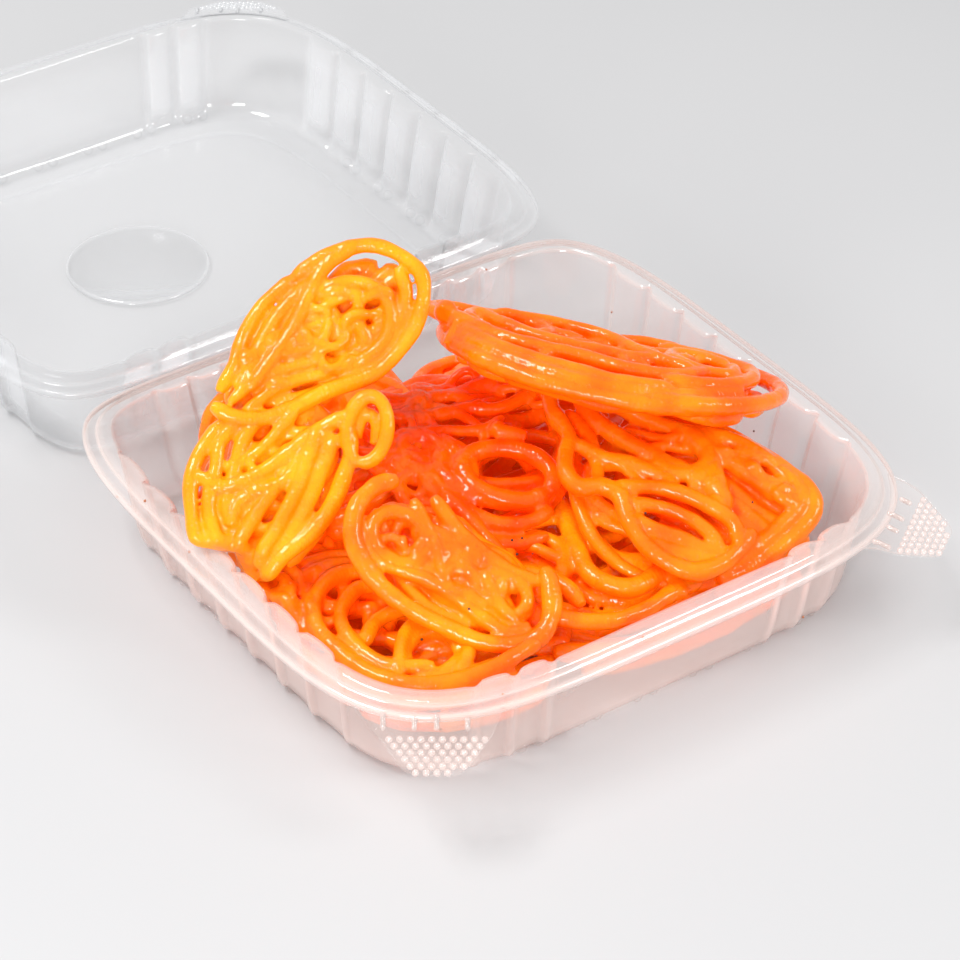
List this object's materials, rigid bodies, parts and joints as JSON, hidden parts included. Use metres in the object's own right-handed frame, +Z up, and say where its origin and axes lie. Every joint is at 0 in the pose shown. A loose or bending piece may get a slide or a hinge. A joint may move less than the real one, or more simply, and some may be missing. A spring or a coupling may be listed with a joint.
{
  "type": "jalebi in hinged clear box",
  "caption": "Heap of piped, syrup-soaked jalebi swirls in a shallow clear plastic box whose hinged lid lies open behind it.",
  "frame": {"origin": "on the table under the middle of the tray", "axes": "+X along the tray's front edge, +Y from the front edge to the hinge and on over the opened lid, +Z up"},
  "size_m": [0.205, 0.4005, 0.1021],
  "materials": {
    "clear_tray": "clear thermoformed sheet, glossy",
    "clear_lid": "clear thermoformed sheet, glossy",
    "jalebi_golden": "fried batter soaked in syrup, translucent golden orange, wet gloss",
    "jalebi_orange": "fried batter soaked in syrup, translucent orange, wet gloss",
    "jalebi_deep": "fried batter soaked in syrup, deep red orange, wet gloss"
  },
  "bodies": {
    "tray": {"tray": "clear_tray", "jalebi_leaning": "jalebi_golden", "jalebi_top": "jalebi_orange", "jalebi_right": "jalebi_orange", "jalebi_front": "jalebi_golden", "jalebi_middle": "jalebi_deep", "jalebi_corner": "jalebi_orange", "jalebi_low": "jalebi_orange", "jalebi_back_right": "jalebi_orange", "jalebi_back_left": "jalebi_orange", "jalebi_base_left": "jalebi_deep", "jalebi_base_right": "jalebi_deep"},
    "lid": {"lid": "clear_lid"}
  },
  "joints": [
    {"name": "lid_hinge", "type": "hinge", "parent": "tray", "child": "lid", "pos_m": [0, 0.09075, 0.0347], "axis": [1, 0, 0], "range_deg": [0, 120]}
  ]
}
